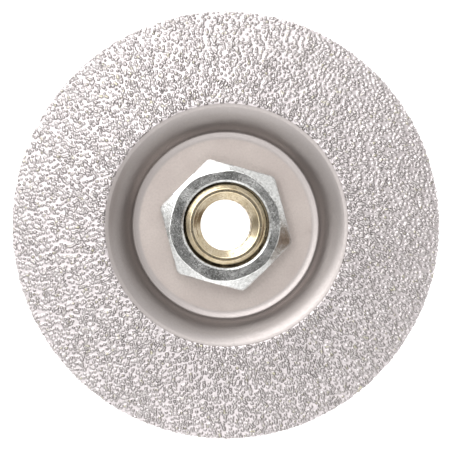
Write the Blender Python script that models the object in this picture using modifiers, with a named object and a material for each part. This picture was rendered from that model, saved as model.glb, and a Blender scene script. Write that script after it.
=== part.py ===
"""Diamond grinding wheel, 115 mm, for the spindle of an angle grinder.

A dished steel disc carries a layer of brazed diamond on its front, from a ring around the
dish out over the rim. A threaded sleeve passes through the disc from behind, and a hex nut
in the dish clamps the disc against the sleeve's flange. The spindle screws into the sleeve.

The wheel's axis is Z, and the abrasive faces +Z. Height 0 is the back of the sleeve's
flange, which seats on the spindle's shoulder. All lengths are in metres.
"""

import math

import bmesh
import bpy

MM = 0.001

# Clearance between pieces that touch on the real wheel
FACE_GAP = 0.3 * MM
THREAD_GAP = 0.1 * MM  # taken off each thread's radius, so twice this between two of them

# The wheel as a whole
WHEEL_RADIUS = 57.5 * MM

# How finely round shapes are divided
TURN_SEGMENTS = 72
THREAD_SEGMENTS = 48
FACE_STEPS = 4
WELD_DISTANCE = 0.002 * MM
SMOOTH_ANGLE = math.radians(30)

# Dished disc, pressed from one steel sheet
SHEET_THICKNESS = 2.2 * MM
ARBOR_HOLE_RADIUS = 22.23 / 2 * MM
FLOOR_RADIUS = 23.1 * MM
CREST_RADIUS = 32.4 * MM
MARGIN_SLOPE = math.radians(13)
FACE_SLOPE_AT_CREST = math.radians(6)
FACE_SLOPE_AT_RIM = math.radians(14)

# The curves of the dish's wall, from the floor out to the margin. A positive radius bulges
# towards the front, and slopes are from level.
WALL_CURVES = [
    # radius, slope at its outer end, divisions
    (-4.5 * MM, math.radians(22), 2),
    (-1.1 * MM, math.radians(74), 3),
    (14.9 * MM, math.radians(44), 4),
    (7.9 * MM, math.radians(25), 2),
]

# Brazed diamond layer
LAYER_THICKNESS = 0.5 * MM
LAYER_INNER_RADIUS = 32.5 * MM
LAYER_RIM_DEPTH = 1.6 * MM
LAYER_EDGE_CHAMFER = 0.4 * MM

# Threads, both right-handed with 60 degree flanks. Shares are of the pitch.
FLANK_TANGENT = math.tan(math.radians(30))
MALE_DEPTH = 17 / 24 / (2 * FLANK_TANGENT)
MALE_ROOT_WIDTH = 1 / 6
FEMALE_DEPTH = 5 / 8 / (2 * FLANK_TANGENT)
FEMALE_ROOT_WIDTH = 1 / 8
OVERCUT = 0.08 * MM  # how far a thread's cutter stands out of the surface it cuts

# M22 x 1.5 between sleeve and nut, and 5/8-11 for the spindle
CLAMP_PITCH = 1.5 * MM
CLAMP_MAJOR_RADIUS = 11.0 * MM
SPINDLE_PITCH = 25.4 / 11 * MM
SPINDLE_MAJOR_RADIUS = 15.875 / 2 * MM
SPINDLE_MINOR_RADIUS = 6.85 * MM

# Threaded sleeve
FLANGE_RADIUS = 19.0 * MM
FLANGE_THICKNESS = 5.0 * MM
FLANGE_CHAMFER = 0.8 * MM
FLANGE_ACROSS_FLATS = 34.0 * MM
SLEEVE_END_BELOW_NUT = 0.5 * MM
SLEEVE_END_RADIUS = 9.66 * MM
COUNTERSINK_RADIUS = 8.8 * MM
SLEEVE_END_ANGLE = math.radians(32)  # of its chamfer and its countersinks, from level

# Lock nut
NUT_ACROSS_FLATS = 32.0 * MM
NUT_THICKNESS = 6.0 * MM
NUT_FACE_RADIUS = 14.8 * MM
NUT_CHAMFER_ANGLE = math.radians(30)
NUT_MOUTH_RADIUS = 12.1 * MM
NUT_MOUTH_CHAMFER = 0.45 * MM
NUT_RECESS_RADIUS = 11.35 * MM
NUT_RECESS_DEPTH = 1.3 * MM
NUT_CORNER_AZIMUTH = math.radians(45)
NUT_CORNER_RADIUS = 18.2 * MM

# Heights that follow from the stack
FLOOR_TOP = FLANGE_THICKNESS + FACE_GAP + SHEET_THICKNESS
NUT_BOTTOM = FLOOR_TOP + FACE_GAP
NUT_TOP = NUT_BOTTOM + NUT_THICKNESS
SLEEVE_TOP = NUT_TOP - SLEEVE_END_BELOW_NUT
THREAD_BOTTOM = FLOOR_TOP - 0.5 * MM

PARTS_NAME = "diamond_grinding_wheel"
CUTTERS_NAME = "cutters"

MATERIALS = {
    # name: base colour, metallic, roughness
    "satin_steel": ((0.62, 0.58, 0.56), 1.0, 0.38),
    "brazed_diamond": ((0.68, 0.64, 0.62), 0.9, 0.45),
    "zinc_plate": ((0.74, 0.74, 0.72), 1.0, 0.28),
    "yellow_zinc": ((0.72, 0.58, 0.36), 1.0, 0.25),
}


def clear_scene():
    for obj in list(bpy.data.objects):
        bpy.data.objects.remove(obj, do_unlink=True)


def new_collection(name):
    collection = bpy.data.collections.new(name)
    bpy.context.scene.collection.children.link(collection)
    return collection


def make_material(name):
    colour, metallic, roughness = MATERIALS[name]
    material = bpy.data.materials.new(name)
    material.use_nodes = True
    shader = material.node_tree.nodes["Principled BSDF"]
    shader.inputs["Base Color"].default_value = (*colour, 1.0)
    shader.inputs["Metallic"].default_value = metallic
    shader.inputs["Roughness"].default_value = roughness
    material.diffuse_color = (*colour, 1.0)
    return material


def as_cutter(obj):
    obj.hide_render = True
    obj.display_type = "WIRE"
    return obj


def profile_object(name, points, closed, collection):
    """An object that holds only a profile's edges, in the plane through the axis and +X."""
    mesh = bpy.data.meshes.new(name)
    edges = [(i, i + 1) for i in range(len(points) - 1)]
    if closed:
        edges.append((len(points) - 1, 0))
    mesh.from_pydata([(radius, 0, height) for radius, height in points], edges, [])
    obj = bpy.data.objects.new(name, mesh)
    collection.objects.link(obj)
    return obj


def turned(name, points, collection, closed=True, segments=TURN_SEGMENTS):
    """A profile of (radius, height) points turned once round the axis."""
    obj = profile_object(name, points, closed, collection)
    screw = obj.modifiers.new("turn", "SCREW")
    screw.steps = segments
    screw.render_steps = segments
    screw.use_merge_vertices = True
    screw.merge_threshold = 0.001 * MM
    return obj


def move_to(obj, collection):
    for holder in obj.users_collection:
        holder.objects.unlink(obj)
    collection.objects.link(obj)


def boolean(obj, other, operation):
    modifier = obj.modifiers.new(f"{operation.lower()}_{other.name}", "BOOLEAN")
    modifier.operation = operation
    modifier.solver = "EXACT"
    modifier.object = other


def weld(obj):
    """Merges the points that cuts leave almost on top of each other."""
    modifier = obj.modifiers.new("weld", "WELD")
    modifier.merge_threshold = WELD_DISTANCE


def cap_ends(mesh):
    """Closes the two ends of a swept tube and turns its faces outwards."""
    work = bmesh.new()
    work.from_mesh(mesh)
    rims = [edge for edge in work.edges if edge.is_boundary]
    bmesh.ops.holes_fill(work, edges=rims, sides=0)
    bmesh.ops.recalc_face_normals(work, faces=work.faces)
    work.to_mesh(mesh)
    work.free()


def helical_cutter(name, inner, outer, pitch, bottom, top, collection):
    """A solid ridge that winds round the axis from below bottom to above top.

    inner and outer are (radius, width) at the ridge's two sides. At azimuth 0, the middle of
    the ridge is at height bottom and every pitch above it.
    """
    (inner_radius, inner_width), (outer_radius, outer_width) = inner, outer
    section = [
        (outer_radius, bottom + outer_width / 2),
        (outer_radius, bottom - outer_width / 2),
        (inner_radius, bottom - inner_width / 2),
        (inner_radius, bottom + inner_width / 2),
    ]
    obj = profile_object(name, section, True, collection)
    screw = obj.modifiers.new("wind", "SCREW")
    screw.steps = THREAD_SEGMENTS
    screw.render_steps = THREAD_SEGMENTS
    screw.screw_offset = pitch
    screw.iterations = math.ceil((top - bottom) / pitch)
    bpy.context.view_layer.update()
    graph = bpy.context.evaluated_depsgraph_get()
    wound = bpy.data.meshes.new_from_object(obj.evaluated_get(graph))
    cap_ends(wound)
    bpy.data.objects.remove(obj)
    ridge = bpy.data.objects.new(name, wound)
    collection.objects.link(ridge)
    return as_cutter(ridge)


def arc(centre, radius, first, last, steps):
    """Points on an arc. Angles are from straight up, positive towards the axis."""
    points = []
    for i in range(steps + 1):
        angle = first + (last - first) * i / steps
        points.append(
            (centre[0] - radius * math.sin(angle), centre[1] + radius * math.cos(angle))
        )
    return points


def dish_profile():
    """The dish's front, from the arbor hole out to the crest at the layer's inner edge."""
    points = [(ARBOR_HOLE_RADIUS, FLOOR_TOP), (FLOOR_RADIUS, FLOOR_TOP)]
    slope = 0
    for radius, end_slope, steps in WALL_CURVES:
        start = points[-1]
        centre = (start[0] + radius * math.sin(slope), start[1] - radius * math.cos(slope))
        points += arc(centre, radius, slope, end_slope, steps)[1:]
        slope = end_slope
    crease_radius, crease_height = points[-1]
    rise = (CREST_RADIUS - crease_radius) * math.tan(MARGIN_SLOPE)
    return points + [(CREST_RADIUS, crease_height + rise)]


def rim_corner_radius():
    """The core's radius at its front edge, which leaves room for the layer round the rim."""
    reach = FACE_GAP + LAYER_THICKNESS
    rise = reach - LAYER_EDGE_CHAMFER
    return WHEEL_RADIUS - reach * math.cos(FACE_SLOPE_AT_RIM) - rise * math.sin(FACE_SLOPE_AT_RIM)


def face_arc():
    """Centre and radius of the arc that the working face follows, which is slightly domed."""
    crest_radius, crest_height = dish_profile()[-1]
    span = rim_corner_radius() - crest_radius
    radius = span / (math.sin(FACE_SLOPE_AT_RIM) - math.sin(FACE_SLOPE_AT_CREST))
    centre = (
        crest_radius - radius * math.sin(FACE_SLOPE_AT_CREST),
        crest_height - radius * math.cos(FACE_SLOPE_AT_CREST),
    )
    return centre, radius


def disc_front_profile():
    """The core's front face, from the arbor hole out to the rim."""
    centre, radius = face_arc()
    face = arc(centre, radius, -FACE_SLOPE_AT_CREST, -FACE_SLOPE_AT_RIM, FACE_STEPS)
    return dish_profile() + face[1:]


def make_disc_core(parts):
    core = turned("disc_core", disc_front_profile(), parts, closed=False)
    shell = core.modifiers.new("sheet", "SOLIDIFY")
    shell.thickness = SHEET_THICKNESS
    shell.offset = -1
    shell.use_even_offset = True
    return core


def make_diamond_layer(parts):
    """A skin over the working face that also wraps the rim."""
    centre, radius = face_arc()
    inner_reach = FACE_GAP
    outer_reach = FACE_GAP + LAYER_THICKNESS
    start = -math.asin((LAYER_INNER_RADIUS - centre[0]) / radius)
    end = -FACE_SLOPE_AT_RIM
    top = arc(centre, radius + outer_reach, start, end, FACE_STEPS)
    underside = arc(centre, radius + inner_reach, end, start, FACE_STEPS)

    corner = (rim_corner_radius(), centre[1] + radius * math.cos(FACE_SLOPE_AT_RIM))
    outward = (math.cos(FACE_SLOPE_AT_RIM), -math.sin(FACE_SLOPE_AT_RIM))
    upward = (math.sin(FACE_SLOPE_AT_RIM), math.cos(FACE_SLOPE_AT_RIM))

    def off_corner(out, up):
        return (
            corner[0] + out * outward[0] + up * upward[0],
            corner[1] + out * outward[1] + up * upward[1],
        )

    rim = [
        off_corner(outer_reach - LAYER_EDGE_CHAMFER, outer_reach),
        off_corner(outer_reach, outer_reach - LAYER_EDGE_CHAMFER),
        off_corner(outer_reach, -LAYER_RIM_DEPTH),
        off_corner(inner_reach, -LAYER_RIM_DEPTH),
        off_corner(inner_reach, inner_reach),
    ]
    return turned("diamond_layer", top + rim + underside, parts)


def sleeve_profile():
    """Half section of the sleeve, down its outside and up its bore."""
    crest = CLAMP_MAJOR_RADIUS - THREAD_GAP
    pilot = ARBOR_HOLE_RADIUS - FACE_GAP
    bore = SPINDLE_MINOR_RADIUS
    end_chamfer = (crest - SLEEVE_END_RADIUS) * math.tan(SLEEVE_END_ANGLE)
    countersink = (COUNTERSINK_RADIUS - bore) * math.tan(SLEEVE_END_ANGLE)
    return [
        (SLEEVE_END_RADIUS, SLEEVE_TOP),
        (crest, SLEEVE_TOP - end_chamfer),
        (crest, THREAD_BOTTOM),
        (pilot, THREAD_BOTTOM - (crest - pilot)),
        (pilot, FLANGE_THICKNESS),
        (FLANGE_RADIUS - FLANGE_CHAMFER, FLANGE_THICKNESS),
        (FLANGE_RADIUS, FLANGE_THICKNESS - FLANGE_CHAMFER),
        (FLANGE_RADIUS, FLANGE_CHAMFER),
        (FLANGE_RADIUS - FLANGE_CHAMFER, 0),
        (COUNTERSINK_RADIUS, 0),
        (bore, countersink),
        (bore, SLEEVE_TOP - countersink),
        (COUNTERSINK_RADIUS, SLEEVE_TOP),
    ]


def groove_width(depth, pitch, root_share):
    """A 60 degree groove's width at this height above its root, which is flat."""
    return pitch * root_share + 2 * depth * FLANK_TANGENT


def cut_spindle_thread(sleeve, cutters):
    depth = SPINDLE_MAJOR_RADIUS - SPINDLE_MINOR_RADIUS + OVERCUT
    cutter = helical_cutter(
        "spindle_thread_cutter",
        (SPINDLE_MAJOR_RADIUS - depth, groove_width(depth, SPINDLE_PITCH, FEMALE_ROOT_WIDTH)),
        (SPINDLE_MAJOR_RADIUS, groove_width(0, SPINDLE_PITCH, FEMALE_ROOT_WIDTH)),
        SPINDLE_PITCH,
        -SPINDLE_PITCH,
        SLEEVE_TOP + SPINDLE_PITCH,
        cutters,
    )
    boolean(sleeve, cutter, "DIFFERENCE")


def cut_sleeve_thread(sleeve, cutters):
    """The male clamping thread. At azimuth 0 its crests are at whole pitches of height."""
    depth = MALE_DEPTH * CLAMP_PITCH + OVERCUT
    root = CLAMP_MAJOR_RADIUS - THREAD_GAP + OVERCUT - depth
    lowest_groove = math.ceil(THREAD_BOTTOM / CLAMP_PITCH) + 0.5
    cutter = helical_cutter(
        "sleeve_thread_cutter",
        (root, groove_width(0, CLAMP_PITCH, MALE_ROOT_WIDTH)),
        (root + depth, groove_width(depth, CLAMP_PITCH, MALE_ROOT_WIDTH)),
        CLAMP_PITCH,
        lowest_groove * CLAMP_PITCH,
        SLEEVE_TOP + CLAMP_PITCH,
        cutters,
    )
    boolean(sleeve, cutter, "DIFFERENCE")


def cut_flange_flats(sleeve, cutters):
    """Two flats for an open spanner, which holds the sleeve while the nut is tightened."""
    for side in (-1, 1):
        bpy.ops.mesh.primitive_cube_add(size=1)
        block = bpy.context.object
        block.name = f"flat_cutter_{'left' if side < 0 else 'right'}"
        block.scale = (FLANGE_RADIUS, 3 * FLANGE_RADIUS, 2 * FLANGE_THICKNESS)
        middle = (FLANGE_ACROSS_FLATS + FLANGE_RADIUS) / 2
        block.location = (side * middle, 0, FLANGE_THICKNESS / 2)
        move_to(as_cutter(block), cutters)
        boolean(sleeve, block, "DIFFERENCE")


def make_threaded_sleeve(parts, cutters):
    sleeve = turned("threaded_sleeve", sleeve_profile(), parts, segments=THREAD_SEGMENTS)
    cut_flange_flats(sleeve, cutters)
    cut_spindle_thread(sleeve, cutters)
    cut_sleeve_thread(sleeve, cutters)
    weld(sleeve)
    return sleeve


def nut_blank_profile():
    """The turned form that the hexagon is cut down to: flat faces, cones and round corners."""
    cone_drop = (NUT_CORNER_RADIUS - NUT_FACE_RADIUS) * math.tan(NUT_CHAMFER_ANGLE)
    bore = nut_minor_radius()
    back_mouth = NUT_MOUTH_RADIUS - bore
    recess_cone = (NUT_RECESS_RADIUS - bore) * math.tan(NUT_CHAMFER_ANGLE)
    return [
        (NUT_FACE_RADIUS, NUT_TOP),
        (NUT_CORNER_RADIUS, NUT_TOP - cone_drop),
        (NUT_CORNER_RADIUS, NUT_BOTTOM + cone_drop),
        (NUT_FACE_RADIUS, NUT_BOTTOM),
        (NUT_MOUTH_RADIUS, NUT_BOTTOM),
        (bore, NUT_BOTTOM + back_mouth),
        (bore, NUT_TOP - NUT_RECESS_DEPTH - recess_cone),
        (NUT_RECESS_RADIUS, NUT_TOP - NUT_RECESS_DEPTH),
        (NUT_MOUTH_RADIUS - NUT_MOUTH_CHAMFER, NUT_TOP - NUT_MOUTH_CHAMFER),
        (NUT_MOUTH_RADIUS, NUT_TOP),
    ]


def nut_minor_radius():
    return CLAMP_MAJOR_RADIUS + THREAD_GAP - FEMALE_DEPTH * CLAMP_PITCH


def cut_nut_thread(nut, cutters):
    """The female thread. At azimuth 0 its grooves are at whole pitches, as the crests are."""
    major = CLAMP_MAJOR_RADIUS + THREAD_GAP
    depth = major - nut_minor_radius() + OVERCUT
    cutter = helical_cutter(
        "nut_thread_cutter",
        (major - depth, groove_width(depth, CLAMP_PITCH, FEMALE_ROOT_WIDTH)),
        (major, groove_width(0, CLAMP_PITCH, FEMALE_ROOT_WIDTH)),
        CLAMP_PITCH,
        (math.floor(NUT_BOTTOM / CLAMP_PITCH) - 1) * CLAMP_PITCH,
        NUT_TOP + CLAMP_PITCH,
        cutters,
    )
    boolean(nut, cutter, "DIFFERENCE")


def make_lock_nut(parts, cutters):
    nut = turned("lock_nut", nut_blank_profile(), parts, segments=THREAD_SEGMENTS)
    corner_radius = NUT_ACROSS_FLATS / math.sqrt(3)
    bpy.ops.mesh.primitive_cylinder_add(
        vertices=6,
        radius=corner_radius,
        depth=2 * NUT_THICKNESS,
        location=(0, 0, (NUT_TOP + NUT_BOTTOM) / 2),
    )
    hexagon = bpy.context.object
    hexagon.name = "nut_hexagon"
    hexagon.rotation_euler.z = NUT_CORNER_AZIMUTH - math.pi / 2
    move_to(as_cutter(hexagon), cutters)
    boolean(nut, hexagon, "INTERSECT")
    cut_nut_thread(nut, cutters)
    weld(nut)
    return nut


def finish(obj, material_name):
    """Gives a piece its material, and smooth shading that keeps its real edges sharp."""
    bpy.context.view_layer.update()
    obj.data.materials.append(make_material(material_name))
    obj.data.shade_smooth()
    obj.data.set_sharp_from_angle(angle=SMOOTH_ANGLE)


def main():
    clear_scene()
    parts = new_collection(PARTS_NAME)
    cutters = new_collection(CUTTERS_NAME)
    finish(make_disc_core(parts), "satin_steel")
    finish(make_diamond_layer(parts), "brazed_diamond")
    finish(make_threaded_sleeve(parts, cutters), "yellow_zinc")
    finish(make_lock_nut(parts, cutters), "zinc_plate")


main()
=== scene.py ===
import math

import bpy
import numpy as np
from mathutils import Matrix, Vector


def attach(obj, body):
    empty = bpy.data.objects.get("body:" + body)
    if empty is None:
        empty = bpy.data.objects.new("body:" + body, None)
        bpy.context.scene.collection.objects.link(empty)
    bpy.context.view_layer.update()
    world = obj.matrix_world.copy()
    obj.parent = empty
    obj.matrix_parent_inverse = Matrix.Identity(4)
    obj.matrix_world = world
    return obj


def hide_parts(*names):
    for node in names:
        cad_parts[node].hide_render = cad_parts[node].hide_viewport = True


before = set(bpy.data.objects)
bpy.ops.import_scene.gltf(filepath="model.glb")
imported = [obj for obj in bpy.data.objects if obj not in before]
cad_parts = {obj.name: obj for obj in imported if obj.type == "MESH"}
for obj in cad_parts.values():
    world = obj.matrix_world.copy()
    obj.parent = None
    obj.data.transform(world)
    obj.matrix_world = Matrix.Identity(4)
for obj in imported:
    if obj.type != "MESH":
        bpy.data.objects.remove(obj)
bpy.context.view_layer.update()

MM = 0.001
TAU = 2 * math.pi

# Disc. The sizes are the CAD node's, except that the rim reaches further out under the grains.
SHEET_THICKNESS = 2.2 * MM
ARBOR_HOLE_RADIUS = 22.23 / 2 * MM
FLOOR_RADIUS = 23.1 * MM
CREST_RADIUS = 32.4 * MM
MARGIN_SLOPE = math.radians(13)
FACE_SLOPE_AT_CREST = math.radians(6)
FACE_SLOPE_AT_RIM = math.radians(14)
HOLE_ROUND = 0.25 * MM
CREASE_ROUND = 0.6 * MM
CREST_ROUND = 1.5 * MM
FRONT_RIM_ROUND = 0.3 * MM
BACK_RIM_ROUND = 0.4 * MM
WHEEL_RADIUS = 57.5 * MM
CORE_RIM_RADIUS = 57.0 * MM
FACE_DIVISIONS = 40
DISC_STEP = 1.0 * MM
DISC_SEGMENTS = 480
# The curves of the dish's wall, from the floor out to the margin. A positive radius bulges
# towards the front, and slopes are from level.
WALL_CURVES = [
    # radius, slope at its outer end, divisions
    (-4.5 * MM, math.radians(22), 8),
    (-1.1 * MM, math.radians(74), 10),
    (14.9 * MM, math.radians(44), 24),
    (7.9 * MM, math.radians(25), 12),
]

# Diamond layer
LAYER_SEGMENTS = 2160
LAYER_STEP = 0.15 * MM
LAYER_START = 32.45 * MM
LAYER_BASE = 0.14 * MM
LAYER_EMBED = 0.06 * MM
LAYER_CORNER_RADIUS = 0.5 * MM
LAYER_RIM_DEPTH = 1.6 * MM
LAYER_CORNER_STEPS = 6
LAYER_UNDER_RINGS = 12
BORDER_WIDTH = 0.3 * MM
BORDER_WAVE = 0.1 * MM
BORDER_WAVELENGTH = 2.5 * MM
BORDER_LEAST = 0.1 * MM
SWELL = 0.012 * MM
SWELL_WAVELENGTH = 6 * MM
RIPPLE = 0.008 * MM
RIPPLE_WAVELENGTH = 0.9 * MM
GRAIN_SEED = 7
GRAIN_RADIUS = 0.36 * MM
GRAIN_HEIGHT = 0.36 * MM
GRAIN_GAP = (0.62 * MM, 1.15 * MM)
GRAIN_EDGE_GAP = 0.25 * MM
GRAIN_REACH = 2.3 * GRAIN_RADIUS
GRAIN_TRIES = 60000
CROWD_WAVELENGTH = 4.5 * MM
SKIRT_HEIGHT = 0.13 * MM
SKIRT_LIMIT = 0.2 * MM
RIM_WEAR = 0.6
# Slopes over which the painted shade on the grains' flanks builds up.
FLANK_SHADE_START = 0.35
FLANK_SHADE_SPAN = 1.1

# Threads. Widths are shares of the pitch.
FLANK_TANGENT = math.tan(math.radians(30))
CLAMP_PITCH = 1.5 * MM
CLAMP_CREST_RADIUS = 10.9 * MM
CLAMP_ROOT_RADIUS = 9.98 * MM
CLAMP_ROOT_SHARE = 1 / 6
NUT_MAJOR_RADIUS = 11.1 * MM
NUT_MINOR_RADIUS = 10.288 * MM
SPINDLE_PITCH = 25.4 / 11 * MM
SPINDLE_MAJOR_RADIUS = 7.9375 * MM
SPINDLE_MINOR_RADIUS = 6.85 * MM
FEMALE_ROOT_SHARE = 1 / 8
THREAD_STEP = 0.1 * MM

# Sleeve
SLEEVE_SEGMENTS = 400
FLANGE_RADIUS = 19 * MM
FLANGE_THICKNESS = 5 * MM
FLANGE_CHAMFER = 0.8 * MM
FLANGE_HALF_FLATS = 17 * MM
FLANGE_ROUND = 0.12 * MM
FLANGE_STEP = 0.8 * MM
PILOT_RADIUS = 10.815 * MM
SLEEVE_END_RADIUS = 9.66 * MM
SLEEVE_CHAMFER_SLOPE = math.tan(math.radians(29))
COUNTERSINK_RADIUS = 8.8 * MM
COUNTERSINK_SLOPE = math.tan(math.radians(32))

# Nut
NUT_SEGMENTS = 720
NUT_APOTHEM = 16 * MM
NUT_CORNER_ROUND = 1.8 * MM
NUT_FACE_RADIUS = 14.75 * MM
NUT_FACE_RINGS = (12.2 * MM, 12.6 * MM, 13.2 * MM, 13.8 * MM)
NUT_CHAMFER_ANGLE = math.radians(30)
NUT_MOUTH_RADIUS = 12.1 * MM
NUT_MOUTH_WIDTH = 0.45 * MM
NUT_MOUTH_SLOPE = math.tan(math.radians(35))
NUT_RECESS_RADIUS = 11.35 * MM
NUT_RECESS_DEPTH = 1.3 * MM
NUT_CORNER_AZIMUTH = math.radians(45)
NUT_EDGE_ROUND = 0.15 * MM
NUT_CORNER_WAVE = 0.15 * MM
# How the edge of the nut's face wanders as it goes round.
NUT_FACE_WAVES = [
    # amount, waves in a turn, phase, and how many times a side's shift is added to the phase
    (0.40 * MM, 1, math.radians(-215), 1),
    (0.06 * MM, 5, 1.1, 2),
    (0.05 * MM, 11, 2.3, 1),
    (0.03 * MM, 17, 0, 1),
]
NUT_LOWER_SHIFT = 2.0
# Rings close to the nut's edges, which keep the shading of its faces and chamfers apart.
NUT_FACE_SUPPORTS = (0.25 * MM, 0.08 * MM)
NUT_CHAMFER_START = (0.02 * MM, 0.012 * MM)
NUT_CHAMFER_SHARES = (0.06, 0.25, 0.5, 0.75, 0.94)
NUT_CHAMFER_END = (0.04 * MM, 0.02 * MM)

# Heights
FLOOR_TOP = 7.5 * MM
NUT_BOTTOM = 7.8 * MM
NUT_TOP = 13.8 * MM
SLEEVE_TOP = 13.3 * MM
THREAD_BOTTOM = 7.0 * MM

# Studio
SOFTBOX_AZIMUTH = 124
SOFTBOX_ZENITH = 44
SOFTBOX_DISTANCE = 0.4
SOFTBOX_SIZE = 0.4
SOFTBOX_RADIANCE = 2.7
STUDIO_WHITE = (1.0, 1.0, 1.0)
# Brighter and darker patches of the studio. A patch lies over the ones above it.
WORLD_PATCHES = [
    # azimuth, zenith angle, inner and outer radius in degrees, colour
    (0, 0, 16, 44, (2.3, 2.3, 2.3)),
    (285, 24, 8, 32, (2.5, 2.5, 2.5)),
    (105, 26, 6, 24, (1.7, 1.7, 1.7)),
    (0, 32, 6, 34, (0.95, 0.93, 0.92)),
    (262, 60, 8, 30, (1.5, 1.5, 1.5)),
    (185, 63, 3, 18, (0.35, 0.34, 0.33)),
    (347, 60, 9, 20, (0.22, 0.16, 0.12)),
    (0, 0, 9, 18, (0.12, 0.12, 0.12)),
]
FLOOR_HALF_WIDTH = 4.0
FLOOR_GAP = 0.02 * MM
CAMERA_DISTANCE = 0.80
CAMERA_TILT = math.radians(1.8)
CAMERA_TARGET = Vector((-0.3 * MM, 0.0, 12.0 * MM))
VIEW_WIDTH = 120.7 * MM
SENSOR_WIDTH = 36


# ---------------------------------------------------------------- turned shapes

def azimuths(segments):
    return np.arange(segments) * TAU / segments


def surface(name, radii, heights):
    """A closed mesh from rings that run counter-clockwise in section.

    radii and heights have one row for each ring and one column for each azimuth.
    """
    rings, segments = radii.shape
    angle = azimuths(segments)
    points = np.stack([radii * np.cos(angle), radii * np.sin(angle), heights], axis=-1)
    index = np.arange(rings * segments).reshape(rings, segments)
    along = np.roll(index, -1, axis=1)
    above = np.roll(index, -1, axis=0)
    both = np.roll(above, -1, axis=1)
    quads = np.stack([index, along, both, above], axis=-1).reshape(-1)
    mesh = bpy.data.meshes.new(name)
    mesh.vertices.add(rings * segments)
    mesh.vertices.foreach_set("co", points.astype(np.float32).ravel())
    mesh.loops.add(quads.size)
    mesh.loops.foreach_set("vertex_index", quads.astype(np.int32))
    mesh.polygons.add(quads.size // 4)
    mesh.polygons.foreach_set("loop_start", np.arange(0, quads.size, 4, dtype=np.int32))
    mesh.update(calc_edges=True)
    obj = bpy.data.objects.new(name, mesh)
    bpy.context.scene.collection.objects.link(obj)
    return obj


def turned(name, section, segments):
    """The section, a closed outline of (radius, height) points, turned about the axis."""
    radii = np.repeat([[r] for r, z in section], segments, axis=1)
    heights = np.repeat([[z] for r, z in section], segments, axis=1)
    return surface(name, radii, heights)


def smooth(obj, angle):
    """Smooth shading, except at edges sharper than the angle in degrees."""
    obj.data.shade_smooth()
    obj.data.set_sharp_from_angle(angle=math.radians(angle))


def arc(centre, radius, first, last, steps):
    """Points on an arc. Angles are from straight up, positive towards the axis."""
    angles = np.linspace(first, last, steps + 1)
    return [(centre[0] - radius * math.sin(a), centre[1] + radius * math.cos(a)) for a in angles]


def rounded(corners, steps=4):
    """A closed outline through (radius, height, rounding) corners, each rounded to an arc."""
    outline = []
    for i, (x, y, rounding) in enumerate(corners):
        here = np.array([x, y])
        if rounding == 0:
            outline.append((x, y))
            continue
        before = np.array(corners[i - 1][:2]) - here
        after = np.array(corners[(i + 1) % len(corners)][:2]) - here
        before /= np.linalg.norm(before)
        after /= np.linalg.norm(after)
        half = math.acos(np.clip(before @ after, -1, 1)) / 2
        reach = rounding / math.tan(half)
        start = here + before * reach
        finish = here + after * reach
        centre = here + (before + after) / np.linalg.norm(before + after) * rounding / math.sin(half)
        for share in np.linspace(0, 1, steps + 1):
            spoke = start * (1 - share) + finish * share - centre
            spoke *= rounding / np.linalg.norm(spoke)
            outline.append(tuple(centre + spoke))
    return outline


def supported(outline, step, closed=True):
    """The same outline with its long spans divided, so that smooth shading stays true."""
    nexts = outline[1:] + outline[:1] if closed else outline[1:]
    points = []
    for (x, y), (next_x, next_y) in zip(outline, nexts):
        length = math.dist((x, y), (next_x, next_y))
        count = max(1, math.ceil(length / step))
        for k in range(count):
            share = k / count
            points.append((x * (1 - share) + next_x * share, y * (1 - share) + next_y * share))
    return points if closed else points + outline[-1:]


# ---------------------------------------------------------------- disc

def slope_normal(slope):
    """The unit vector square to a slope that rises outwards, as (radius, height)."""
    return np.array([-math.sin(slope), math.cos(slope)])


def mitred(point, first, second, offset):
    """A corner between two slopes, moved by offset off both of them."""
    return point + slope_normal((first + second) / 2) * offset / math.cos((first - second) / 2)


def dish_side(offset):
    """The dish's front moved by offset along its normal: hole to crease, crease and crest."""
    outline = [(ARBOR_HOLE_RADIUS, FLOOR_TOP + offset)]
    start = np.array([FLOOR_RADIUS, FLOOR_TOP])
    slope = 0
    for radius, end_slope, steps in WALL_CURVES:
        centre = start - slope_normal(slope) * radius
        outline += arc(centre, radius + offset, slope, end_slope, steps)
        start = centre + slope_normal(end_slope) * radius
        slope = end_slope
    rise = (CREST_RADIUS - start[0]) * math.tan(MARGIN_SLOPE)
    crest = np.array([CREST_RADIUS, start[1] + rise])
    crease = mitred(start, slope, MARGIN_SLOPE, offset)
    outline = [outline[0]] + [p for p in outline[1:] if p[0] < crease[0] - 1e-6]
    return outline, crease, mitred(crest, MARGIN_SLOPE, -FACE_SLOPE_AT_CREST, offset)


def face_arc():
    """Centre and radius of the arc that the working face follows."""
    crest = dish_side(0)[2]
    turn = math.sin(FACE_SLOPE_AT_RIM) - math.sin(FACE_SLOPE_AT_CREST)
    radius = (CORE_RIM_RADIUS - CREST_RADIUS) / turn
    return crest - slope_normal(-FACE_SLOPE_AT_CREST) * radius, radius


def disc_side(offset, rim_round):
    """The whole front moved by offset: (radius, height, rounding) corners from hole to rim."""
    dish, crease, crest = dish_side(offset)
    centre, radius = face_arc()
    face = arc(centre, radius + offset, -FACE_SLOPE_AT_CREST, -FACE_SLOPE_AT_RIM, FACE_DIVISIONS)
    corners = [(*dish[0], HOLE_ROUND)]
    corners += [(*p, 0) for p in dish[1:]]
    corners += [(*crease, CREASE_ROUND), (*crest, CREST_ROUND)]
    corners += [(*p, 0) for p in face[1:-1] if p[0] > crest[0] + CREST_ROUND]
    return corners + [(*face[-1], rim_round)]


def disc_section():
    """The sheet's outline: in over the front, then out over the back."""
    front = disc_side(0, FRONT_RIM_ROUND)
    back = disc_side(-SHEET_THICKNESS, BACK_RIM_ROUND)
    return supported(rounded(front[::-1] + back), DISC_STEP)


def make_disc():
    """The dished steel sheet."""
    disc = turned("disc_body", disc_section(), DISC_SEGMENTS)
    smooth(disc, 30)
    return disc


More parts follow.
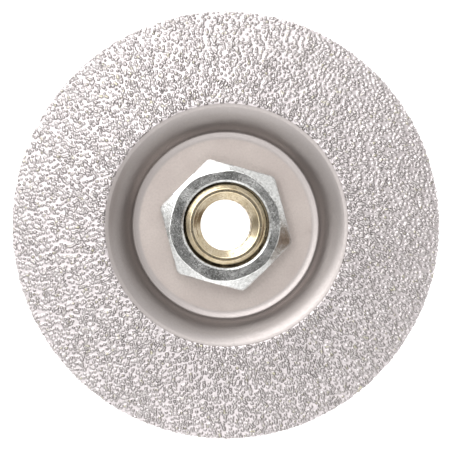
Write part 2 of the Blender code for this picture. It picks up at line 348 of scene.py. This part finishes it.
# ---------------------------------------------------------------- diamond layer

def random_field(rng, x, y, wavelength, waves=60):
    """A smooth random field over a plane, about -2 to 2, with features of one size."""
    total = np.zeros_like(x)
    for _ in range(waves):
        direction = rng.uniform(0, TAU)
        turn = TAU / (wavelength * rng.uniform(0.75, 1.35))
        phase = rng.uniform(0, TAU)
        total += np.cos(turn * (x * math.cos(direction) + y * math.sin(direction)) + phase)
    return total / math.sqrt(waves / 2)


def layer_path():
    """The line that the layer follows in section, with its normals: in over the rim and the face."""
    centre, radius = face_arc()
    end = -math.asin((LAYER_START - centre[0]) / radius)
    face_length = radius * (end + FACE_SLOPE_AT_RIM)
    outward = np.array([math.cos(FACE_SLOPE_AT_RIM), -math.sin(FACE_SLOPE_AT_RIM)])
    upward = np.array([math.sin(FACE_SLOPE_AT_RIM), math.cos(FACE_SLOPE_AT_RIM)])
    corner = np.array([CORE_RIM_RADIUS, centre[1] + radius * math.cos(FACE_SLOPE_AT_RIM)])
    points, normals = [], []
    side_steps = math.ceil(LAYER_RIM_DEPTH / LAYER_STEP)
    for i in range(side_steps):
        depth = LAYER_RIM_DEPTH * (1 - i / side_steps)
        points.append(corner - upward * depth)
        normals.append(outward)
    for i in range(LAYER_CORNER_STEPS):
        angle = math.pi / 2 * i / LAYER_CORNER_STEPS
        points.append(corner)
        normals.append(outward * math.cos(angle) + upward * math.sin(angle))
    face_steps = math.ceil(face_length / LAYER_STEP)
    for i in range(face_steps + 1):
        angle = -FACE_SLOPE_AT_RIM + (end + FACE_SLOPE_AT_RIM) * i / face_steps
        points.append(centre + radius * slope_normal(angle))
        normals.append(slope_normal(angle))
    return np.array(points), np.array(normals)


def layer_distance(points, normals):
    """How far along the section each ring is. The rim's corner counts with the layer's rounding."""
    step = np.linalg.norm(np.diff(points, axis=0), axis=1)
    turn = np.linalg.norm(np.diff(normals, axis=0), axis=1) * LAYER_CORNER_RADIUS
    return np.concatenate([[0], np.cumsum(np.maximum(step, turn))])


def place_grains(rng, distance, ring_radius):
    """Scatters grains over the unrolled layer: (distance along the section, azimuth)."""
    along = rng.uniform(0, distance[-1] - GRAIN_EDGE_GAP, GRAIN_TRIES)
    radius = np.interp(along, distance, ring_radius)
    keep = rng.uniform(0, 1, GRAIN_TRIES) < radius / WHEEL_RADIUS
    along, radius = along[keep], radius[keep]
    azimuth = rng.uniform(0, TAU, len(along))
    x, y = radius * np.cos(azimuth), radius * np.sin(azimuth)
    crowd = random_field(rng, x, y, CROWD_WAVELENGTH)
    share = np.clip(np.abs(crowd) * 0.9, 0, 1)
    gap = GRAIN_GAP[0] + (GRAIN_GAP[1] - GRAIN_GAP[0]) * share
    cell = GRAIN_GAP[1]
    taken, chosen = {}, []
    for i in range(len(along)):
        place = np.array([x[i], y[i], along[i]])
        key = (int(x[i] // cell), int(y[i] // cell))
        clear = True
        for dx in (-1, 0, 1):
            for dy in (-1, 0, 1):
                for other, other_gap in taken.get((key[0] + dx, key[1] + dy), ()):
                    apart = math.dist(place, other)
                    if apart < min(gap[i], other_gap):
                        clear = False
        if clear:
            taken.setdefault(key, []).append((tuple(place), gap[i]))
            chosen.append((along[i], azimuth[i]))
    return chosen


def crystal_shape(rng, x, y):
    """One grain's height round its middle, and how far out each point is, in grain radii."""
    size = GRAIN_RADIUS * rng.uniform(0.72, 1.2)
    height = GRAIN_HEIGHT * rng.uniform(0.6, 1.15)
    sides = rng.integers(5, 8)
    turn = rng.uniform(0, TAU)
    edge = np.zeros(np.broadcast(x, y).shape)
    for k in range(sides):
        facing = turn + TAU * (k + rng.uniform(-0.22, 0.22)) / sides
        out = size * rng.uniform(0.78, 1.1)
        edge = np.maximum(edge, (x * math.cos(facing) + y * math.sin(facing)) / out)
    tilt = rng.uniform(-0.22, 0.22, 2)
    top = height + tilt[0] * x + tilt[1] * y
    flank = height * 2.2 * (1.18 - edge)
    return np.clip(np.minimum(top, flank), 0, None), edge


def grow_grains(rng, grains, distance, ring_radius):
    """Heights of the grains, and of the braze drawn up round them, over the layer's grid."""
    crystals = np.zeros((len(distance), LAYER_SEGMENTS))
    braze = np.zeros_like(crystals)
    angle_step = TAU / LAYER_SEGMENTS
    for along, azimuth in grains:
        rows = np.flatnonzero(np.abs(distance - along) < GRAIN_REACH)
        if len(rows) == 0:
            continue
        middle = ring_radius[rows[len(rows) // 2]]
        spread = math.ceil(GRAIN_REACH / (middle * angle_step))
        centre = round(azimuth / angle_step)
        columns = np.arange(centre - spread, centre + spread + 1)
        x = (distance[rows] - along)[:, None]
        y = ((columns * angle_step - azimuth) * middle)[None, :]
        crystal, edge = crystal_shape(rng, x, y)
        skirt = SKIRT_HEIGHT * np.clip(2.0 - edge, 0, 1) ** 2
        window = np.ix_(rows, columns % LAYER_SEGMENTS)
        crystals[window] = np.maximum(crystals[window], crystal)
        braze[window] += skirt
    return crystals, braze


def add_attribute(obj, name, values):
    """Stores a value for each point of the layer's top. The underside's points get 0."""
    attribute = obj.data.attributes.new(name, "FLOAT", "POINT")
    stored = np.zeros(len(obj.data.vertices), dtype=np.float32)
    stored[:values.size] = values.ravel()
    attribute.data.foreach_set("value", stored)


def edge_fade(rng, from_edge, x, y):
    """0 at the layer's inner edge to 1 past a border of uneven width. x and y are the edge's."""
    wave = random_field(rng, x, y, BORDER_WAVELENGTH, 24)
    border = np.maximum(BORDER_WIDTH + BORDER_WAVE * wave, BORDER_LEAST)
    fade = np.clip(from_edge / border, 0, 1)
    return fade * fade * (3 - 2 * fade)


def steepness(crystals, ring_radius):
    """The slope of the grains' surfaces over the layer's grid."""
    along_slope = np.gradient(crystals, axis=0) / LAYER_STEP
    across_step = ring_radius[:, None] * TAU / LAYER_SEGMENTS
    across_slope = np.gradient(crystals, axis=1) / across_step
    return np.hypot(along_slope, across_slope)


def under_rings(points, normals):
    """A few rings just under the line that the layer follows, from its inner edge to the rim."""
    keep = np.linspace(len(points) - 1, 0, LAYER_UNDER_RINGS).astype(int)
    under = (points - normals * LAYER_EMBED)[keep]
    return level_rings(under[:, 0], LAYER_SEGMENTS), level_rings(under[:, 1], LAYER_SEGMENTS)


def make_layer():
    """The braze and its grains as one skin, grown square to the disc's face and rim."""
    rng = np.random.default_rng(GRAIN_SEED)
    points, normals = layer_path()
    distance = layer_distance(points, normals)
    ring_radius = points[:, 0]
    grains = place_grains(rng, distance, ring_radius)
    crystals, braze = grow_grains(rng, grains, distance, ring_radius)
    crystals *= 1 - RIM_WEAR * np.clip(normals[:, :1], 0, 1)

    angle = azimuths(LAYER_SEGMENTS)
    x = ring_radius[:, None] * np.cos(angle)
    y = ring_radius[:, None] * np.sin(angle)
    swell = random_field(rng, x, y, SWELL_WAVELENGTH, 24) * SWELL
    ripple = random_field(rng, x, y, RIPPLE_WAVELENGTH, 24) * RIPPLE
    pooled = SKIRT_LIMIT * (1 - np.exp(-braze / SKIRT_LIMIT))
    fade = edge_fade(rng, (distance[-1] - distance)[:, None], x[-1:], y[-1:])
    height = (LAYER_BASE + swell + ripple + pooled + crystals) * fade

    under_radii, under_heights = under_rings(points, normals)
    layer = surface(
        "diamond_skin",
        np.concatenate([ring_radius[:, None] + normals[:, :1] * height, under_radii]),
        np.concatenate([points[:, 1:] + normals[:, 1:] * height, under_heights]),
    )
    # The flank value marks the grains' steep sides for painted shade in the braze's colour.
    flank = (steepness(crystals, ring_radius) - FLANK_SHADE_START) / FLANK_SHADE_SPAN
    add_attribute(layer, "grain", np.clip(crystals / GRAIN_HEIGHT, 0, 1) * fade)
    add_attribute(layer, "flank", np.clip(flank, 0, 1))
    smooth(layer, 60)
    return layer


# ---------------------------------------------------------------- threads

def from_groove(heights, angle, pitch):
    """Distance from the nearest groove's middle, in pitches. One crosses azimuth 0 at height 0."""
    turns = heights[:, None] / pitch - angle[None, :] / TAU
    return np.abs(turns - np.round(turns))


def female_radius(heights, angle, pitch, major, minor):
    """The radius of a threaded bore, for each height and azimuth."""
    away = from_groove(heights, angle, pitch) * pitch
    drop = np.clip(away - FEMALE_ROOT_SHARE * pitch / 2, 0, None) / FLANK_TANGENT
    return np.maximum(major - drop, minor)


def male_radius(heights, angle, pitch, crest, root):
    """The radius of a threaded shank, for each height and azimuth. It fits the bore's thread."""
    away = from_groove(heights - pitch / 2, angle, pitch) * pitch
    rise = np.clip(away - CLAMP_ROOT_SHARE * pitch / 2, 0, None) / FLANK_TANGENT
    return np.minimum(root + rise, crest)


def levels(first, last, step):
    """Evenly spaced values from first to last, no more than a step apart."""
    return np.linspace(first, last, math.ceil(abs(last - first) / step) + 1)


def level_rings(values, segments):
    """One row for each value, the same all the way round."""
    return np.repeat(values[:, None], segments, axis=1)


# ---------------------------------------------------------------- sleeve

def flange_rings(angle):
    """The flange's bottom, its chamfered rim with two flats, its top, and the pilot above it."""
    shoulder = FLANGE_RADIUS - FLANGE_CHAMFER
    countersink_end = (SPINDLE_MINOR_RADIUS, COUNTERSINK_RADIUS - SPINDLE_MINOR_RADIUS, 0)
    outline = rounded([
        (COUNTERSINK_RADIUS, 0, FLANGE_ROUND),
        (shoulder, 0, FLANGE_ROUND),
        (FLANGE_RADIUS, FLANGE_CHAMFER, FLANGE_ROUND),
        (FLANGE_RADIUS, FLANGE_THICKNESS - FLANGE_CHAMFER, FLANGE_ROUND),
        (shoulder, FLANGE_THICKNESS, FLANGE_ROUND),
        (PILOT_RADIUS, FLANGE_THICKNESS, 0),
        (PILOT_RADIUS, THREAD_BOTTOM, 0),
        countersink_end,
    ])
    section = supported(outline[:-1], FLANGE_STEP, closed=False)
    flat_reach = FLANGE_HALF_FLATS / np.maximum(np.abs(np.cos(angle)), 1e-6)
    radii = np.array([np.minimum(r, flat_reach) for r, z in section])
    heights = np.array([z for r, z in section])
    return radii, level_rings(heights, len(angle))


def make_sleeve():
    """The flange and the sleeve, threaded outside for the nut and inside for the spindle."""
    segments = SLEEVE_SEGMENTS
    angle = azimuths(segments)
    flange_radii, flange_heights = flange_rings(angle)

    rise = levels(THREAD_BOTTOM, SLEEVE_TOP, THREAD_STEP)
    outside = male_radius(rise, angle, CLAMP_PITCH, CLAMP_CREST_RADIUS, CLAMP_ROOT_RADIUS)
    chamfer = SLEEVE_END_RADIUS + (SLEEVE_TOP - rise)[:, None] / SLEEVE_CHAMFER_SLOPE
    outside = np.minimum(outside, chamfer)

    ring = np.linspace(SLEEVE_END_RADIUS, COUNTERSINK_RADIUS, 6)[1:-1]
    fall = levels(SLEEVE_TOP, 0, THREAD_STEP)
    inside = female_radius(fall, angle, SPINDLE_PITCH, SPINDLE_MAJOR_RADIUS, SPINDLE_MINOR_RADIUS)
    top_cone = COUNTERSINK_RADIUS - (SLEEVE_TOP - fall)[:, None] / COUNTERSINK_SLOPE
    bottom_cone = COUNTERSINK_RADIUS - fall[:, None] / COUNTERSINK_SLOPE
    inside = np.maximum(inside, np.maximum(top_cone, bottom_cone))

    sleeve = surface(
        "spindle_sleeve",
        np.concatenate([flange_radii, outside, level_rings(ring, segments), inside[:-1]]),
        np.concatenate([
            flange_heights,
            level_rings(rise, segments),
            np.full((len(ring), segments), SLEEVE_TOP),
            level_rings(fall[:-1], segments),
        ]),
    )
    smooth(sleeve, 35)
    return sleeve


# ---------------------------------------------------------------- nut

def hexagon_radius(angle):
    """The hexagon's outline, its corners rounded."""
    third = TAU / 6
    from_corner = (angle - NUT_CORNER_AZIMUTH + third / 2) % third - third / 2
    from_flat = third / 2 - np.abs(from_corner)
    flat = NUT_APOTHEM / np.cos(from_flat)
    centre = (NUT_APOTHEM - NUT_CORNER_ROUND) / math.cos(third / 2)
    inside = np.clip(NUT_CORNER_ROUND ** 2 - (centre * np.sin(from_corner)) ** 2, 0, None)
    corner = centre * np.cos(from_corner) + np.sqrt(inside)
    tangent = math.atan((NUT_APOTHEM - NUT_CORNER_ROUND) * math.tan(third / 2) / NUT_APOTHEM)
    return np.where(from_flat > tangent, corner, flat)


def nut_face_radius(angle, shift):
    """Where the flat face ends and the chamfer starts, uneven and off centre as on a pressed nut."""
    radius = NUT_FACE_RADIUS - NUT_CORNER_WAVE * np.cos(6 * (angle - NUT_CORNER_AZIMUTH))
    for amount, count, phase, shifts in NUT_FACE_WAVES:
        radius = radius + amount * np.cos(count * angle + phase + shifts * shift)
    return radius


def nut_side_rings(angle, shift):
    """Rings from the flat face's edge out over the chamfer to the hexagon's side.

    Their heights are given as drops from the face.
    """
    face = nut_face_radius(angle, shift)
    hexagon = hexagon_radius(angle)
    slope = math.tan(NUT_CHAMFER_ANGLE)
    radii, drops = [], []
    for back in NUT_FACE_SUPPORTS:
        radii.append(face - back)
        drops.append(np.zeros_like(face))
    radii.append(face + NUT_CHAMFER_START[0])
    drops.append(np.full_like(face, NUT_CHAMFER_START[1]))
    for share in NUT_CHAMFER_SHARES:
        radii.append(face + (hexagon - face) * share)
        drops.append((radii[-1] - face) * slope)
    edge = (hexagon - face) * slope
    radii.append(hexagon - NUT_CHAMFER_END[0])
    drops.append(edge + NUT_CHAMFER_END[1])
    radii.append(hexagon)
    drops.append(edge + NUT_EDGE_ROUND)
    return np.array(radii), np.array(drops)


def nut_mouth(depth):
    """The nut's mouth, as a radius at each depth: a chamfer, a recess, and a cone to the thread."""
    chamfer = NUT_MOUTH_RADIUS - depth / NUT_MOUTH_SLOPE
    taper = (NUT_MOUTH_RADIUS - NUT_MOUTH_WIDTH - NUT_RECESS_RADIUS) / NUT_RECESS_DEPTH
    recess = NUT_MOUTH_RADIUS - NUT_MOUTH_WIDTH - taper * depth
    cone = NUT_RECESS_RADIUS - (depth - NUT_RECESS_DEPTH)
    return np.maximum(chamfer, np.minimum(recess, cone))


def make_nut():
    """The nut, with the same shape on both sides and its thread between them."""
    segments = NUT_SEGMENTS
    angle = azimuths(segments)
    top_radii, top_drops = nut_side_rings(angle, 0)
    low_radii, low_drops = nut_side_rings(angle, NUT_LOWER_SHIFT)
    face_radii = level_rings(np.array(NUT_FACE_RINGS), segments)

    top_edge = NUT_TOP - top_drops[-1]
    low_edge = NUT_BOTTOM + low_drops[-1]
    shares = np.linspace(0, 1, 7)[1:-1, None]
    side_heights = low_edge + (top_edge - low_edge) * shares
    side_radii = np.repeat(hexagon_radius(angle)[None, :], len(shares), axis=0)

    fall = levels(NUT_TOP, NUT_BOTTOM, THREAD_STEP)
    bore = female_radius(fall, angle, CLAMP_PITCH, NUT_MAJOR_RADIUS, NUT_MINOR_RADIUS)
    bore = np.maximum(bore, nut_mouth(np.minimum(NUT_TOP - fall, fall - NUT_BOTTOM))[:, None])

    nut = surface(
        "hex_nut",
        np.concatenate([face_radii, low_radii, side_radii, top_radii[::-1], face_radii[::-1], bore]),
        np.concatenate([
            np.full_like(face_radii, NUT_BOTTOM),
            NUT_BOTTOM + low_drops,
            side_heights,
            (NUT_TOP - top_drops)[::-1],
            np.full_like(face_radii, NUT_TOP),
            level_rings(fall, segments),
        ]),
    )
    smooth(nut, 25)
    return nut


# ---------------------------------------------------------------- materials

class Nodes:
    """A short way to write a material's nodes."""

    def __init__(self, name):
        """Starts a material with its shader and the position on the object."""
        self.material = bpy.data.materials.new(name)
        self.material.use_nodes = True
        self.tree = self.material.node_tree
        self.shader = self.tree.nodes["Principled BSDF"]
        self.position = self.tree.nodes.new("ShaderNodeTexCoord").outputs["Object"]

    def link(self, source, target):
        self.tree.links.new(source, target)

    def attribute(self, name):
        """A value stored on the mesh."""
        node = self.tree.nodes.new("ShaderNodeAttribute")
        node.attribute_name = name
        return node.outputs["Fac"]

    def axis_distance(self):
        """The distance from the wheel's axis."""
        flat = self.tree.nodes.new("ShaderNodeVectorMath")
        flat.operation = "MULTIPLY"
        flat.inputs[1].default_value = (1, 1, 0)
        self.link(self.position, flat.inputs[0])
        length = self.tree.nodes.new("ShaderNodeVectorMath")
        length.operation = "LENGTH"
        self.link(flat.outputs["Vector"], length.inputs[0])
        return length.outputs["Value"]

    def noise(self, size, detail, roughness=0.5, stretch=None, source=None):
        """Noise with features of about this size, over the position or another source."""
        node = self.tree.nodes.new("ShaderNodeTexNoise")
        node.inputs["Scale"].default_value = 1 / size
        node.inputs["Detail"].default_value = detail
        node.inputs["Roughness"].default_value = roughness
        source = source or self.position
        if stretch:
            mapping = self.tree.nodes.new("ShaderNodeMapping")
            mapping.inputs["Scale"].default_value = stretch
            mapping.inputs["Rotation"].default_value = (0, 0, 0.7)
            self.link(source, mapping.inputs["Vector"])
            source = mapping.outputs["Vector"]
        self.link(source, node.inputs["Vector"])
        return node.outputs["Fac"]

    def spread(self, value, low, high, to_low, to_high):
        """The value from low to high, stretched to run from to_low to to_high, and held there."""
        node = self.tree.nodes.new("ShaderNodeMapRange")
        node.inputs["From Min"].default_value = low
        node.inputs["From Max"].default_value = high
        node.inputs["To Min"].default_value = to_low
        node.inputs["To Max"].default_value = to_high
        self.link(value, node.inputs["Value"])
        return node.outputs["Result"]

    def times(self, first, second):
        """The product of two values."""
        node = self.tree.nodes.new("ShaderNodeMath")
        node.operation = "MULTIPLY"
        self.link(first, node.inputs[0])
        self.link(second, node.inputs[1])
        return node.outputs["Value"]

    def blend(self, factor, first, second):
        """The first colour at factor 0 and the second at 1."""
        node = self.tree.nodes.new("ShaderNodeMix")
        node.data_type = "RGBA"
        self.link(factor, node.inputs["Factor"])
        for socket, value in ((node.inputs["A"], first), (node.inputs["B"], second)):
            if isinstance(value, tuple):
                socket.default_value = (*value, 1)
            else:
                self.link(value, socket)
        return node.outputs["Result"]

    def bump(self, height, distance, under=None):
        """A normal bent by a height from 0 to 1, where 1 stands for the distance."""
        node = self.tree.nodes.new("ShaderNodeBump")
        node.inputs["Distance"].default_value = distance
        self.link(height, node.inputs["Height"])
        if under:
            self.link(under, node.inputs["Normal"])
        return node.outputs["Normal"]


def steel_material():
    """Satin steel with the fine speckle of a blasted sheet, and painted shade that greys it from the
    floor's edge outwards.
    """
    n = Nodes("satin_steel_finish")
    cloud = n.noise(9 * MM, 3)
    speckle = n.noise(0.55 * MM, 3, 0.6)
    colour = n.blend(n.spread(cloud, 0.35, 0.65, 0, 1), (0.455, 0.40, 0.375), (0.505, 0.45, 0.42))
    colour = n.blend(n.spread(speckle, 0.35, 0.7, 0, 0.6), colour, (0.38, 0.335, 0.31))
    # Painted shade: the dish wall and the sheet beyond it are greyed, standing in for the dark they
    # reflect.
    painted_wall_shade = n.spread(n.axis_distance(), FLOOR_RADIUS - 0.2 * MM, FLOOR_RADIUS + 0.5 * MM, 0, 0.75)
    colour = n.blend(painted_wall_shade, colour, (0.35, 0.325, 0.32))
    n.link(colour, n.shader.inputs["Base Color"])
    n.shader.inputs["Metallic"].default_value = 1.0
    n.link(n.spread(speckle, 0.3, 0.7, 0.36, 0.48), n.shader.inputs["Roughness"])
    fine = n.bump(n.noise(0.35 * MM, 2, 0.6), 0.012 * MM)
    n.link(n.bump(speckle, 0.02 * MM, fine), n.shader.inputs["Normal"])
    return n.material


def braze_material():
    """Nickel braze over diamond: bright on the grains and between them, with painted shade dark down
    their steep flanks.
    """
    n = Nodes("nickel_braze_finish")
    grain = n.attribute("grain")
    flank = n.attribute("flank")
    cloud = n.noise(12 * MM, 3)
    speckle = n.noise(0.3 * MM, 3, 0.6)
    base = n.blend(n.spread(cloud, 0.35, 0.65, 0, 1), (0.53, 0.49, 0.495), (0.57, 0.53, 0.535))
    bare = n.spread(n.noise(1.3 * MM, 2), 0.6, 0.68, 0, 1)
    tops = n.blend(bare, (0.50, 0.47, 0.465), (0.47, 0.445, 0.34))
    colour = n.blend(n.spread(grain, 0.05, 0.6, 0, 1), base, tops)
    # Painted shade: the grains' steep flanks are darkened as if shadowed.
    colour = n.blend(n.spread(flank, 0, 1, 0, 0.85), colour, (0.16, 0.15, 0.145))
    n.link(colour, n.shader.inputs["Base Color"])
    n.shader.inputs["Metallic"].default_value = 1.0
    n.link(n.spread(speckle, 0.3, 0.7, 0.32, 0.45), n.shader.inputs["Roughness"])
    n.link(n.bump(speckle, 0.015 * MM), n.shader.inputs["Normal"])
    return n.material


def zinc_material():
    """Bright zinc plate, mottled and scratched, with painted shade darkening its thread's bore."""
    n = Nodes("bright_zinc_finish")
    mottle = n.noise(0.9 * MM, 4, 0.6)
    cloud = n.noise(5 * MM, 2)
    scratch = n.noise(0.5 * MM, 3, 0.7, stretch=(1, 9, 1))
    colour = n.blend(n.spread(mottle, 0.35, 0.65, 0, 1), (0.64, 0.64, 0.625), (0.80, 0.80, 0.785))
    fleck = n.noise(0.5 * MM, 4, 0.7)
    on_face = n.spread(n.axis_distance(), NUT_FACE_RADIUS - 0.3 * MM, NUT_FACE_RADIUS + 0.6 * MM, 1, 0.25)
    scuffed = n.times(n.spread(fleck, 0.48, 0.64, 0, 0.8), on_face)
    colour = n.blend(scuffed, colour, (0.27, 0.265, 0.245))
    # Painted shade: the bore inside the recess is darkened where the nut's thread meets the sleeve.
    painted_bore_shade = n.spread(n.axis_distance(), NUT_RECESS_RADIUS, NUT_RECESS_RADIUS + 0.3 * MM, 0.7, 0)
    colour = n.blend(painted_bore_shade, colour, (0.13, 0.115, 0.09))
    n.link(colour, n.shader.inputs["Base Color"])
    n.shader.inputs["Metallic"].default_value = 1.0
    n.link(n.spread(cloud, 0.3, 0.7, 0.12, 0.24), n.shader.inputs["Roughness"])
    fine = n.bump(mottle, 0.05 * MM)
    n.link(n.bump(scratch, 0.012 * MM, fine), n.shader.inputs["Normal"])
    return n.material


def yellow_zinc_material():
    """Yellow passivated zinc, glossy, with darker streaks and the lathe's rings."""
    n = Nodes("yellow_zinc_finish")
    cloud = n.noise(2.5 * MM, 3)
    fleck = n.noise(0.5 * MM, 3, 0.65)
    rings = n.noise(0.34 * MM, 2, 0.5, source=n.axis_distance())
    colour = n.blend(n.spread(cloud, 0.35, 0.65, 0, 1), (0.64, 0.555, 0.41), (0.54, 0.45, 0.30))
    colour = n.blend(n.spread(fleck, 0.52, 0.72, 0, 0.7), colour, (0.30, 0.22, 0.12))
    colour = n.blend(n.spread(rings, 0.5, 0.7, 0, 0.6), colour, (0.22, 0.16, 0.09))
    n.link(colour, n.shader.inputs["Base Color"])
    n.shader.inputs["Metallic"].default_value = 1.0
    n.link(n.spread(fleck, 0.3, 0.7, 0.14, 0.28), n.shader.inputs["Roughness"])
    grooves = n.bump(rings, 0.015 * MM)
    n.link(n.bump(fleck, 0.012 * MM, grooves), n.shader.inputs["Normal"])
    return n.material


def floor_material():
    """A white light table, so that the background and the view through the bore stay white."""
    n = Nodes("light_table")
    n.shader.inputs["Base Color"].default_value = (0.8, 0.8, 0.8, 1)
    n.shader.inputs["Roughness"].default_value = 0.9
    n.shader.inputs["Emission Color"].default_value = (1, 1, 1, 1)
    n.shader.inputs["Emission Strength"].default_value = 0.95
    return n.material


# ---------------------------------------------------------------- studio

def towards(azimuth, zenith):
    """The unit vector at an azimuth and at an angle from straight up, both in degrees."""
    azimuth = math.radians(azimuth)
    zenith = math.radians(zenith)
    level = math.sin(zenith)
    return Vector((level * math.cos(azimuth), level * math.sin(azimuth), math.cos(zenith)))


def make_world():
    """A white studio with brighter and darker patches, the darkest one straight overhead."""
    world = bpy.data.worlds.new("studio")
    world.use_nodes = True
    tree = world.node_tree
    background = tree.nodes["Background"]
    direction = tree.nodes.new("ShaderNodeTexCoord").outputs["Generated"]
    colour = None
    for azimuth, zenith, inner, outer, patch_colour in WORLD_PATCHES:
        dot = tree.nodes.new("ShaderNodeVectorMath")
        dot.operation = "DOT_PRODUCT"
        dot.inputs[1].default_value = towards(azimuth, zenith)
        tree.links.new(direction, dot.inputs[0])
        fade = tree.nodes.new("ShaderNodeMapRange")
        fade.interpolation_type = "SMOOTHSTEP"
        fade.inputs["From Min"].default_value = math.cos(math.radians(outer))
        fade.inputs["From Max"].default_value = math.cos(math.radians(inner))
        tree.links.new(dot.outputs["Value"], fade.inputs["Value"])
        mix = tree.nodes.new("ShaderNodeMix")
        mix.data_type = "RGBA"
        tree.links.new(fade.outputs["Result"], mix.inputs["Factor"])
        mix.inputs["A"].default_value = (*STUDIO_WHITE, 1)
        if colour:
            tree.links.new(colour, mix.inputs["A"])
        mix.inputs["B"].default_value = (*patch_colour, 1)
        colour = mix.outputs["Result"]
    tree.links.new(colour, background.inputs["Color"])
    bpy.context.scene.world = world


def make_softbox():
    """A square light above and to one side of the wheel, turned to face it."""
    light = bpy.data.lights.new("softbox", "AREA")
    light.shape = "SQUARE"
    light.size = SOFTBOX_SIZE
    light.energy = SOFTBOX_RADIANCE * math.pi * SOFTBOX_SIZE * SOFTBOX_SIZE
    softbox = bpy.data.objects.new("softbox", light)
    softbox.location = towards(SOFTBOX_AZIMUTH, SOFTBOX_ZENITH) * SOFTBOX_DISTANCE
    softbox.rotation_euler = softbox.location.to_track_quat("Z", "Y").to_euler()
    bpy.context.scene.collection.objects.link(softbox)


def make_floor():
    """The floor that the wheel lies on. It isn't part of the object."""
    size = FLOOR_HALF_WIDTH
    corners = [(-size, -size, 0), (size, -size, 0), (size, size, 0), (-size, size, 0)]
    mesh = bpy.data.meshes.new("floor")
    mesh.from_pydata(corners, [], [(0, 1, 2, 3)])
    floor = bpy.data.objects.new("floor", mesh)
    floor.location.z = -FLOOR_GAP
    floor.data.materials.append(floor_material())
    bpy.context.scene.collection.objects.link(floor)


def make_camera():
    """A camera almost straight above the wheel, tilted a little."""
    data = bpy.data.cameras.new("camera")
    data.sensor_width = SENSOR_WIDTH
    data.lens = SENSOR_WIDTH * CAMERA_DISTANCE / VIEW_WIDTH
    data.clip_start = 0.01
    camera = bpy.data.objects.new("camera", data)
    from_target = Vector((-math.sin(CAMERA_TILT), 0, math.cos(CAMERA_TILT)))
    camera.location = CAMERA_TARGET + from_target * CAMERA_DISTANCE
    camera.rotation_euler = (0, -CAMERA_TILT, 0)
    bpy.context.scene.collection.objects.link(camera)
    bpy.context.scene.camera = camera


# ---------------------------------------------------------------- assembly

PIECES = [
    # maker, body, node it stands for, slot, material
    (make_disc, "wheel", "disc_core", "satin_steel", steel_material),
    (make_layer, "wheel", "diamond_layer", "brazed_diamond", braze_material),
    (make_sleeve, "sleeve", "threaded_sleeve", "yellow_zinc", yellow_zinc_material),
    (make_nut, "nut", "lock_nut", "zinc_plate", zinc_material),
]


def main():
    """Makes the four pieces, then the studio round them."""
    bpy.context.scene.view_settings.view_transform = "Standard"
    for make, body, node, slot, material in PIECES:
        piece = make()
        piece.data.materials.append(material())
        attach(piece, body)
        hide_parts(node)
    make_world()
    make_softbox()
    make_floor()
    make_camera()


main()
